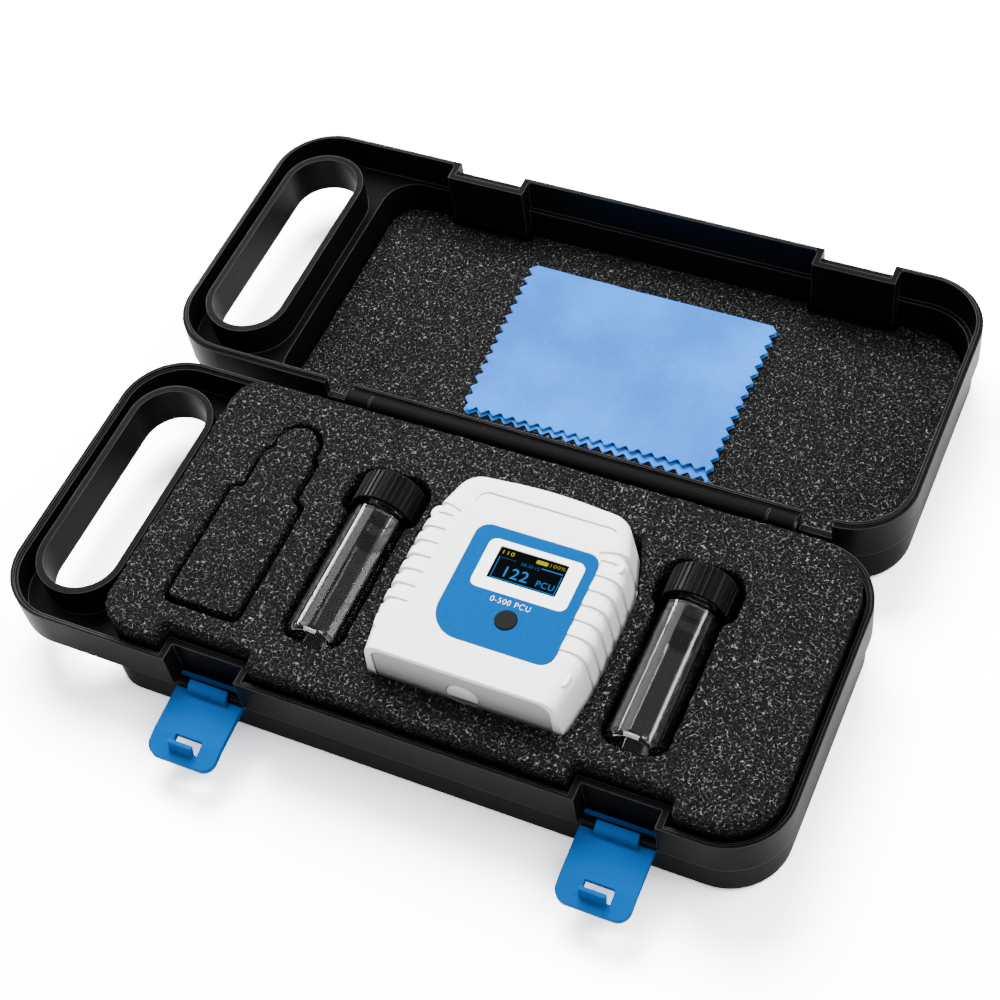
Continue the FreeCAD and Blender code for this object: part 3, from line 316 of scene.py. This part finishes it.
strand_wander = 1.6 * MM
pocket_starts = 3.5
pocket_shade_full_from = 8.0
flecks_left_in_shade = 0.08
foam_paint, tree, shader = new_material("charcoal_foam")
places = tree.nodes.new("ShaderNodeTexCoord")
bend = noise_at(tree, places, 520.0)
bent = tree.nodes.new("ShaderNodeVectorMath")
bent.operation = "MULTIPLY_ADD"
bent.inputs[1].default_value = (strand_wander, strand_wander, strand_wander)
link(tree, bend, "Color", bent, 0)
link(tree, places, "Object", bent, 2)
cells = tree.nodes.new("ShaderNodeTexVoronoi")
cells.feature = "DISTANCE_TO_EDGE"
cells.inputs["Scale"].default_value = 640.0
link(tree, bent, "Vector", cells, "Vector")
strands = ramp_of(tree, cells, "Distance", [(0.02, grey(1)), (0.085, grey(0))])
tears = noise_at(tree, places, 1250.0, 2.0, 0.6)
kept = ramp_of(tree, tears, "Fac", [(0.45, grey(0)), (0.56, grey(1))])
torn = product_of(tree, strands, "Color", kept, "Color")
depth = tree.nodes.new("ShaderNodeAttribute")
depth.attribute_name = "depth_below_face"
# Deeper than the pocket start the pale curls fade away, a painted shade in the pockets and down
# the sides.
painted_pocket_shade = tree.nodes.new("ShaderNodeMapRange")
painted_pocket_shade.inputs["From Min"].default_value = pocket_starts
painted_pocket_shade.inputs["From Max"].default_value = pocket_shade_full_from
painted_pocket_shade.inputs["To Min"].default_value = 1.0
painted_pocket_shade.inputs["To Max"].default_value = flecks_left_in_shade
link(tree, depth, "Fac", painted_pocket_shade, "Value")
curls = product_of(tree, torn, "Value", painted_pocket_shade, "Result")
# The ground is darker where the pits sink lower in the relief: painted shade in the cells over the
# foam's own charcoal.
pits = noise_at(tree, places, 1500.0, 3.0, 0.7)
ground = ramp_of(tree, pits, "Fac", [(0.36, grey(0.0012)), (0.64, grey(0.008))])
# The curls' pale colour varies from place to place; it is partly torn cell wall and partly painted
# glints on the strands.
shine = noise_at(tree, places, 900.0, 1.0)
bright = ramp_of(tree, shine, "Fac",
                 [(0.34, grey(0.014)), (0.56, grey(0.085)), (0.72, grey(0.24))])
colours = tree.nodes.new("ShaderNodeMix")
colours.data_type = "RGBA"
link(tree, curls, "Value", colours, "Factor")
link(tree, ground, "Color", colours, "A")
link(tree, bright, "Color", colours, "B")
link(tree, colours, "Result", shader, "Base Color")
shader.inputs["Roughness"].default_value = 0.85
shader.inputs["Specular IOR Level"].default_value = 0.02
raised = tree.nodes.new("ShaderNodeMath")
raised.operation = "ADD"
link(tree, curls, "Value", raised, 0)
link(tree, pits, "Fac", raised, 1)
add_relief(tree, shader, raised, "Value", 0.8, 0.5 * MM)


def mesh_of(shape):
    """The finished mesh of a helper object, which is then removed."""
    mesh = bpy.data.meshes.new_from_object(
        shape.evaluated_get(bpy.context.evaluated_depsgraph_get()))
    bpy.data.objects.remove(shape)
    return mesh


def cut_foam(node, name, voxel, body, ragged, slack=0.0):
    """A foam piece made from its plain solid: remeshed, its edges softened, its faces ragged."""
    form = bmesh.new()
    form.from_mesh(nodes[node].data)
    low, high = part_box(node)
    middle = (low + high) / 2
    for vertex in form.verts:
        vertex.co.x = middle.x + (vertex.co.x - middle.x) * (1 - 2 * slack / (high.x - low.x))
        vertex.co.y = middle.y + (vertex.co.y - middle.y) * (1 - 2 * slack / (high.y - low.y))
    bmesh.ops.remove_doubles(form, verts=form.verts, dist=0.01 * MM)
    mesh = bpy.data.meshes.new(name + "_rough")
    form.to_mesh(mesh)
    rough = placed(name + "_rough", mesh)
    remesh = rough.modifiers.new("cells", "REMESH")
    remesh.mode = "VOXEL"
    remesh.voxel_size = voxel
    relax = rough.modifiers.new("soft_edges", "SMOOTH")
    relax.factor = 0.5
    relax.iterations = 3
    for label, size, strength in (("torn_cells", 1.3 * MM, ragged),
                                  ("slow_waves", 14 * MM, 0.5 * ragged)):
        pattern = bpy.data.textures.new(label, "CLOUDS")
        pattern.noise_scale = size
        pattern.noise_depth = 1
        tear = rough.modifiers.new(label, "DISPLACE")
        tear.texture = pattern
        tear.texture_coords = "LOCAL"
        tear.strength = strength
        tear.mid_level = 0.72
    final = mesh_of(rough)
    for polygon in final.polygons:
        polygon.use_smooth = True
    below = final.attributes.new("depth_below_face", "FLOAT", "POINT")
    for vertex, place in zip(final.vertices, below.data):
        place.value = (high.z - vertex.co.z) / MM
    final.materials.clear()
    final.materials.append(foam_paint)
    foam = placed(name, final)
    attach(foam, body)
    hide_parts(node)


cut_foam("foam_insert", "base_foam", 1.1 * MM, "case", ragged=0.8 * MM)
cut_foam("lid_foam", "lid_foam_sheet", 1.1 * MM, "lid", ragged=0.6 * MM)
cut_foam("foam_blank", "foam_plug", 0.8 * MM, "blank", ragged=0.6 * MM, slack=0.85 * MM)

# Wiping cloth: one piece of pale blue microfibre, pinked on three sides and folded once at the far
# edge, so the lower layer peeps out at the near side. It lies loose on the lid's foam.
cloth_low, cloth_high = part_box("cleaning_cloth")
cloth_middle = (cloth_low + cloth_high) / 2
cloth_width = 95.6 * MM
upper_length = 68.6 * MM
lower_length = 71.2 * MM
fold_radius = 0.45 * MM
fold_length = math.pi * fold_radius
flat_length = upper_length + lower_length + fold_length
cell = 0.8 * MM
tooth_pitch = 4.9 * MM
tooth_depth = 2.6 * MM
tooth_reach = 3 * MM
near_side_shift = 3.4 * MM
near_side_narrowing = 0.03
least_lag = 0.7
more_lag = 2.8
wave_scale = 28
wave_height = 0.25
wrinkle_scale = 90
wrinkle_height = 0.12
middle_height = 0.35


def tooth_at(distance):
    """How far out the pinked edge stands at a distance along it, from -0.5 to 0.5."""
    return abs((distance / tooth_pitch) % 1 * 2 - 1) - 0.5


across = round(cloth_width / cell)
along = round(flat_length / cell)
cloth_form = bmesh.new()
grid = []
for j in range(along + 1):
    t = flat_length * j / along
    row = []
    for i in range(across + 1):
        u = cloth_width * i / across
        end = max(0.0, 1 - min(t, flat_length - t) / tooth_reach)
        s = t + tooth_depth * tooth_at(u) * end * (1 if t < flat_length / 2 else -1)
        if s < lower_length:
            y = s
            z = 0.0
        elif s < lower_length + fold_length:
            angle = (s - lower_length) / fold_radius
            y = lower_length + fold_radius * math.sin(angle)
            z = fold_radius * (1 - math.cos(angle))
        else:
            lag = (least_lag + more_lag * u / cloth_width) * MM
            from_fold = s - lower_length - fold_length
            y = lower_length - from_fold * (lower_length - lag) / upper_length
            z = 2 * fold_radius
        side = max(0.0, 1 - min(u, cloth_width - u) / tooth_reach)
        outward = -1 if u >= cloth_width / 2 else 1
        shift = tooth_depth * tooth_at(lower_length - y) * side * outward
        nearness = 1 - y / lower_length
        x = (u + shift) * (1 - near_side_narrowing * nearness) + near_side_shift * nearness
        is_upper = z > fold_radius
        lift = wave_height * noise.noise(
            Vector((x * wave_scale, y * wave_scale, 4.0 + is_upper * 1.5)))
        lift += wrinkle_height * noise.noise(Vector((x * wrinkle_scale, y * wrinkle_scale, 9.0)))
        rise = z + (middle_height + lift) * MM * (1.6 if is_upper else 0.5)
        row.append(cloth_form.verts.new((x - cloth_width / 2, y - lower_length / 2, rise)))
    grid.append(row)
for lower_row, upper_row in zip(grid, grid[1:]):
    for i in range(across):
        corners = (lower_row[i], lower_row[i + 1], upper_row[i + 1], upper_row[i])
        cloth_form.faces.new(corners).smooth = True
cloth_mesh = bpy.data.meshes.new("wiping_cloth")
cloth_form.to_mesh(cloth_mesh)
cloth_mesh.transform(Matrix.Rotation(math.radians(-0.6), 4, "Z"))
cloth_mesh.transform(Matrix.Translation(
    (cloth_middle.x - 0.4 * MM, cloth_middle.y, cloth_low.z - 0.1 * MM)))
cloth = placed("wiping_cloth", cloth_mesh)
pile = cloth.modifiers.new("thickness", "SOLIDIFY")
pile.thickness = 0.35 * MM
pile.offset = 0
cloth_paint, tree, shader = new_material("blue_microfibre")
places = tree.nodes.new("ShaderNodeTexCoord")
fibres = noise_at(tree, places, 1700.0, 4.0, 0.8)
# Lighter and darker blue in broad streaks and waves is painted shade, as the waves of a lying
# cloth would cast.
painted_shade_streaks = noise_at(tree, places, 75.0, 4.0, 0.6)
waves = noise_at(tree, places, 17.0, 1.0)
painted_shade_mix = tree.nodes.new("ShaderNodeMath")
painted_shade_mix.operation = "MULTIPLY_ADD"
painted_shade_mix.inputs[1].default_value = 0.35
link(tree, painted_shade_streaks, "Fac", painted_shade_mix, 0)
link(tree, waves, "Fac", painted_shade_mix, 2)
shade = ramp_of(tree, painted_shade_mix, "Value", [(0.5, (0.0, 0.09, 0.42)), (0.82, (0.0, 0.165, 0.65))])
tint = ramp_of(tree, fibres, "Fac", [(0.3, grey(0.74)), (0.7, grey(1.0))])
colours = tree.nodes.new("ShaderNodeMix")
colours.data_type = "RGBA"
colours.blend_type = "MULTIPLY"
colours.inputs["Factor"].default_value = 1.0
link(tree, shade, "Color", colours, "A")
link(tree, tint, "Color", colours, "B")
link(tree, colours, "Result", shader, "Base Color")
shader.inputs["Roughness"].default_value = 0.9
shader.inputs["Sheen Weight"].default_value = 0.08
shader.inputs["Sheen Roughness"].default_value = 0.4
add_relief(tree, shader, fibres, "Fac", 0.8, 0.3 * MM)
cloth_mesh.materials.append(cloth_paint)
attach(cloth, "cloth")
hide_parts("cleaning_cloth")

# Meter housing: two white ABS shells screwed together from below, with a round cover over the
# cuvette well. All of them have a fine satin texture.
shell_plastic = moulded_plastic(
    "white_shell_plastic", colour=(0.83, 0.835, 0.85), worn_and_highlight=(0.86, 0.86, 0.87), roughness=0.4,
    grain_scale=3000.0, bump=0.25, edge_radius=0.0008, gloss=0.3)
dress(shell_plastic, "meter_front_shell", "meter_back_shell", "cuvette_cover")

# End plate: a grey cover that closes the shells over the cells. A thin dark strip along its sides
# and top is a painted shadow line for the shade in the narrow gap around the plate.
end_plastic = moulded_plastic(
    "grey_end_plastic", colour=(0.36, 0.36, 0.38), worn_and_highlight=(0.42, 0.42, 0.44), roughness=0.45,
    grain_scale=3000.0, bump=0.25, edge_radius=0.0005, gloss=0.3)
dress(end_plastic, "meter_end_plate")
shadow_gap_reach = 5 * MM
front_normal = Vector((0, -1, 0))
plate_low, plate_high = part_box("meter_end_plate")
plate = bmesh.new()
plate.from_mesh(nodes["meter_end_plate"].data)
shadow_gap_curve = bpy.data.curves.new("end_plate_shadow_gap_curve", "CURVE")
shadow_gap_curve.dimensions = "3D"
shadow_gap_curve.bevel_depth = 0.17 * MM
shadow_gap_curve.bevel_resolution = 1
for edge in plate.edges:
    middle = (edge.verts[0].co + edge.verts[1].co) / 2
    margin = min(middle.x - plate_low.x, plate_high.x - middle.x, plate_high.z - middle.z)
    front_faces = sum(face.normal.dot(front_normal) > 0.97 for face in edge.link_faces)
    if margin < shadow_gap_reach and front_faces == 1:
        run = shadow_gap_curve.splines.new("POLY")
        run.points.add(1)
        for point, vertex in zip(run.points, edge.verts):
            point.co = (*vertex.co, 1)
shadow_gap_mesh = mesh_of(placed("end_plate_shadow_gap_curve", shadow_gap_curve))
shadow_gap_strip = placed("end_plate_shadow_gap_strip", shadow_gap_mesh)
# Near-black paint for the strip that stands for the shadow in the gap around the end plate.
shadow_gap_paint = moulded_plastic(
    "painted_shadow_gap", colour=grey(0.02), worn_and_highlight=grey(0.03), roughness=0.7,
    grain_scale=1500.0, bump=0.4, edge_radius=0.0002)
shadow_gap_mesh.materials.clear()
shadow_gap_mesh.materials.append(shadow_gap_paint)
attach(shadow_gap_strip, "meter")

# Face of the meter: a blue printed label and a white printed window on film, over a small
# two-colour display. The round soft button stands just proud of the label.
label_paint, tree, shader = new_material("blue_label_film")
places = tree.nodes.new("ShaderNodeTexCoord")
press = noise_at(tree, places, 700.0, 3.0)
ink = ramp_of(tree, press, "Fac", [(0.3, (0.0, 0.042, 0.165)), (0.7, (0.0, 0.047, 0.18))])
link(tree, ink, "Color", shader, "Base Color")
shader.inputs["Roughness"].default_value = 0.45
shader.inputs["Specular IOR Level"].default_value = 0.01
add_relief(tree, shader, press, "Fac", 0.1, 0.05 * MM)
dress(label_paint, "label_plate")

white_film = moulded_plastic(
    "white_window_film", colour=grey(0.93), worn_and_highlight=grey(0.95), roughness=0.35,
    grain_scale=900.0, bump=0.1, edge_radius=0.0002, gloss=0.2)
dress(white_film, "window_frame")

display_paint, tree, shader = new_material("black_display_glass")
places = tree.nodes.new("ShaderNodeTexCoord")
dots = tree.nodes.new("ShaderNodeTexVoronoi")
dots.inputs["Scale"].default_value = 5500.0
link(tree, places, "Object", dots, "Vector")
dark = ramp_of(tree, dots, "Distance",
               [(0.0, (0.0016, 0.0016, 0.002)), (0.8, (0.0006, 0.0006, 0.0008))])
link(tree, dark, "Color", shader, "Base Color")
shader.inputs["Roughness"].default_value = 0.2
shader.inputs["Specular IOR Level"].default_value = 0.01
dress(display_paint, "display_glass")

button_rubber = moulded_plastic(
    "grey_button_rubber", colour=grey(0.0085), worn_and_highlight=grey(0.014), roughness=0.6,
    grain_scale=2500.0, bump=0.4, edge_radius=0.0004, gloss=0.02)
dress(button_rubber, "power_button")

# What the display shows and what is printed under it: plain figures, a unit, a frame and a
# battery mark. They are raised by a few hundredths of a millimetre, like print and lit pixels.
# Their places are in millimetres from the lower left corner of the display's window.
display_low, display_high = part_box("display_glass")
window_half_width = 11.65 * MM
window_half_height = 6.1 * MM
window_x = (display_low.x + display_high.x) / 2 - window_half_width
window_y = (display_low.y + display_high.y) / 2 - window_half_height
pixel_z = display_high.z + 0.02 * MM
letter_rise = 0.03 * MM
letter_spacing = 1.12
bar_rise = 0.02 * MM
dot_pitch = 0.62


def lit_paint(name, colour):
    """Pixels of the display, which glow a little."""
    material, tree, shader = new_material(name)
    places = tree.nodes.new("ShaderNodeTexCoord")
    flicker = noise_at(tree, places, 4000.0, 1.0)
    glow = ramp_of(tree, flicker, "Fac", [(0.3, tuple(c * 0.8 for c in colour)), (0.7, colour)])
    link(tree, glow, "Color", shader, "Emission Color")
    shader.inputs["Base Color"].default_value = (0.002, 0.002, 0.002, 1)
    shader.inputs["Emission Strength"].default_value = 1.0
    shader.inputs["Roughness"].default_value = 0.4
    shader.inputs["Specular IOR Level"].default_value = 0.0
    return material


def on_face(name, mesh, paint):
    """A mark that goes with the meter."""
    mesh.materials.clear()
    mesh.materials.append(paint)
    piece = placed(name, mesh)
    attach(piece, "meter")


def words(name, text, left, right, foot, height, z, paint, weight):
    """Lettering from left to right that stands on foot; weight makes its strokes heavier."""
    curve = bpy.data.curves.new(name + "_line", "FONT")
    curve.body = text
    curve.offset = weight
    curve.space_character = letter_spacing
    mesh = mesh_of(placed(name + "_line", curve))
    reach = [vertex.co.x for vertex in mesh.vertices]
    tall = max(vertex.co.y for vertex in mesh.vertices)
    wide = (right - left) * MM / (max(reach) - min(reach))
    mesh.transform(Matrix.Translation((-min(reach), 0, 0)))
    mesh.transform(Matrix.Diagonal((wide, height * MM / tall, 1, 1)))
    start = (window_x + left * MM, window_y + foot * MM, z + letter_rise)
    mesh.transform(Matrix.Translation(start))
    on_face(name, mesh, paint)


def bars(name, boxes, paint):
    """Thin flat bars of lit pixels: each is (left, right, low, high)."""
    form = bmesh.new()
    for left, right, low, high in boxes:
        corners = [form.verts.new((window_x + u * MM, window_y + v * MM, pixel_z + w))
                   for w in (0.0, bar_rise)
                   for u, v in ((left, low), (right, low), (right, high), (left, high))]
        for a, b, c, d in ((3, 2, 1, 0), (4, 5, 6, 7), (0, 1, 5, 4), (1, 2, 6, 5), (2, 3, 7, 6),
                           (3, 0, 4, 7)):
            form.faces.new((corners[a], corners[b], corners[c], corners[d]))
    mesh = bpy.data.meshes.new(name)
    form.to_mesh(mesh)
    on_face(name, mesh, paint)


cyan = lit_paint("cyan_pixels", (0.0, 0.3, 0.85))
dim_cyan = lit_paint("dim_cyan_pixels", (0.0, 0.14, 0.45))
yellow = lit_paint("yellow_pixels", (0.72, 0.66, 0.0))
dim_yellow = lit_paint("dim_yellow_pixels", (0.46, 0.4, 0.0))
bars("display_frame", [(0.9, 1.15, 0.75, 8.6), (0.9, 22.5, 0.7, 0.95), (22.3, 22.55, 0.75, 7.8),
                       (15.2, 22.4, 8.45, 8.8)], cyan)
bars("display_dots", [(1.2 + dot_pitch * k, 1.55 + dot_pitch * k, 8.4, 8.6) for k in range(9)],
     dim_cyan)
for name, text, left, right, foot, height, paint, weight in (
        ("display_reading", "122", 4.7, 12.6, 2.0, 3.9, cyan, 0.008),
        ("display_unit", "PCU", 15.7, 21.6, 2.0, 2.2, cyan, 0.0),
        ("display_clock", "08:30:15", 8.5, 14.6, 7.6, 1.15, dim_cyan, 0.0),
        ("display_count", "110", 1.3, 5.2, 9.85, 1.4, yellow, 0.0),
        ("display_charge", "100%", 17.4, 22.4, 10.1, 1.25, dim_yellow, 0.0)):
    words(name, text, left, right, foot, height, pixel_z, paint, weight)
bars("display_battery", [(12.8, 16.4, 9.9, 11.3), (12.65, 12.8, 10.1, 11.1),
                         (16.4, 16.6, 10.2, 11.0)], yellow)
print_white = moulded_plastic(
    "white_print", colour=grey(0.9), worn_and_highlight=grey(0.92), roughness=0.4,
    grain_scale=1200.0, bump=0.1, edge_radius=0.0001, gloss=0.2)
label_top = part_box("label_plate")[1].z
words("range_print", "0-500 PCU", 4.7, 18.0, -7.7, 1.95, label_top, print_white,
      -0.022)

# Inside the meter, seen only when it is opened: green boards with black parts, a matt black
# light-tight well, clear optics, brass pins and sprung contacts.
board_paint, tree, shader = new_material("green_solder_mask")
places = tree.nodes.new("ShaderNodeTexCoord")
tracks = tree.nodes.new("ShaderNodeTexVoronoi")
tracks.feature = "DISTANCE_TO_EDGE"
tracks.inputs["Scale"].default_value = 300.0
link(tree, places, "Object", tracks, "Vector")
copper = ramp_of(tree, tracks, "Distance",
                 [(0.05, (0.02, 0.16, 0.06)), (0.12, (0.012, 0.09, 0.035))])
link(tree, copper, "Color", shader, "Base Color")
shader.inputs["Roughness"].default_value = 0.35
dress(board_paint, "main_board", "display_board", "lamp_and_detector_boards")
chip_black = moulded_plastic(
    "black_moulded_parts", colour=grey(0.02), worn_and_highlight=grey(0.05), roughness=0.5,
    grain_scale=2500.0, bump=0.3, edge_radius=0.0003)
dress(chip_black, "button_switch", "board_parts", "photodiode", "cuvette_well", "battery_holder")
seal_rubber = moulded_plastic(
    "black_seal_rubber", colour=grey(0.018), worn_and_highlight=grey(0.03), roughness=0.7,
    grain_scale=1500.0, bump=0.4, edge_radius=0.0003)
dress(seal_rubber, "cuvette_seal")
dress(metal("brass_pins", (0.75, 0.55, 0.22), roughness=0.3, scale=1200.0), "display_pins")
dress(metal("nickel_contacts", (0.75, 0.75, 0.76), roughness=0.25, scale=1200.0),
      "battery_contacts")


def clear_glass(name, colour, roughest, index):
    """Clear glass whose faces are a little less polished in places."""
    material, tree, shader = new_material(name)
    shader.inputs["Base Color"].default_value = (*colour, 1)
    shader.inputs["Transmission Weight"].default_value = 1.0
    shader.inputs["IOR"].default_value = index
    places = tree.nodes.new("ShaderNodeTexCoord")
    drawn = noise_at(tree, places, 60.0)
    vary_roughness(tree, shader, drawn, "Fac", 0.0, roughest)
    return material


dress(clear_glass("clear_lens", grey(1.0), roughest=0.04, index=1.5), "lamp", "focusing_lens")
dress(clear_glass("blue_filter_glass", (0.25, 0.5, 0.95), roughest=0.04, index=1.5),
      "colour_filter")

# Sample vials: drawn borosilicate tubes with a thick foot, a neck and a black ribbed screw cap
# with a white sealing disc. They lie in their pockets, and the foam shows through them.
vial_glass = clear_glass("vial_glass", (0.97, 0.985, 0.985), roughest=0.002, index=1.47)
# The cap's paler edge colour is a painted highlight on the ribs as well as wear.
cap_plastic = moulded_plastic(
    "black_cap_plastic", colour=grey(0.0012), worn_and_highlight=grey(0.03), roughness=0.33,
    grain_scale=2500.0, bump=0.25, edge_radius=0.0003, gloss=0.075)
liner_rubber = moulded_plastic(
    "white_liner", colour=grey(0.8), worn_and_highlight=grey(0.85), roughness=0.6,
    grain_scale=1800.0, bump=0.3, edge_radius=0.0002)
for vial in ("vial_1", "vial_2"):
    dress(vial_glass, vial + "_glass")
    dress(cap_plastic, vial + "_cap")
    dress(liner_rubber, vial + "_liner")
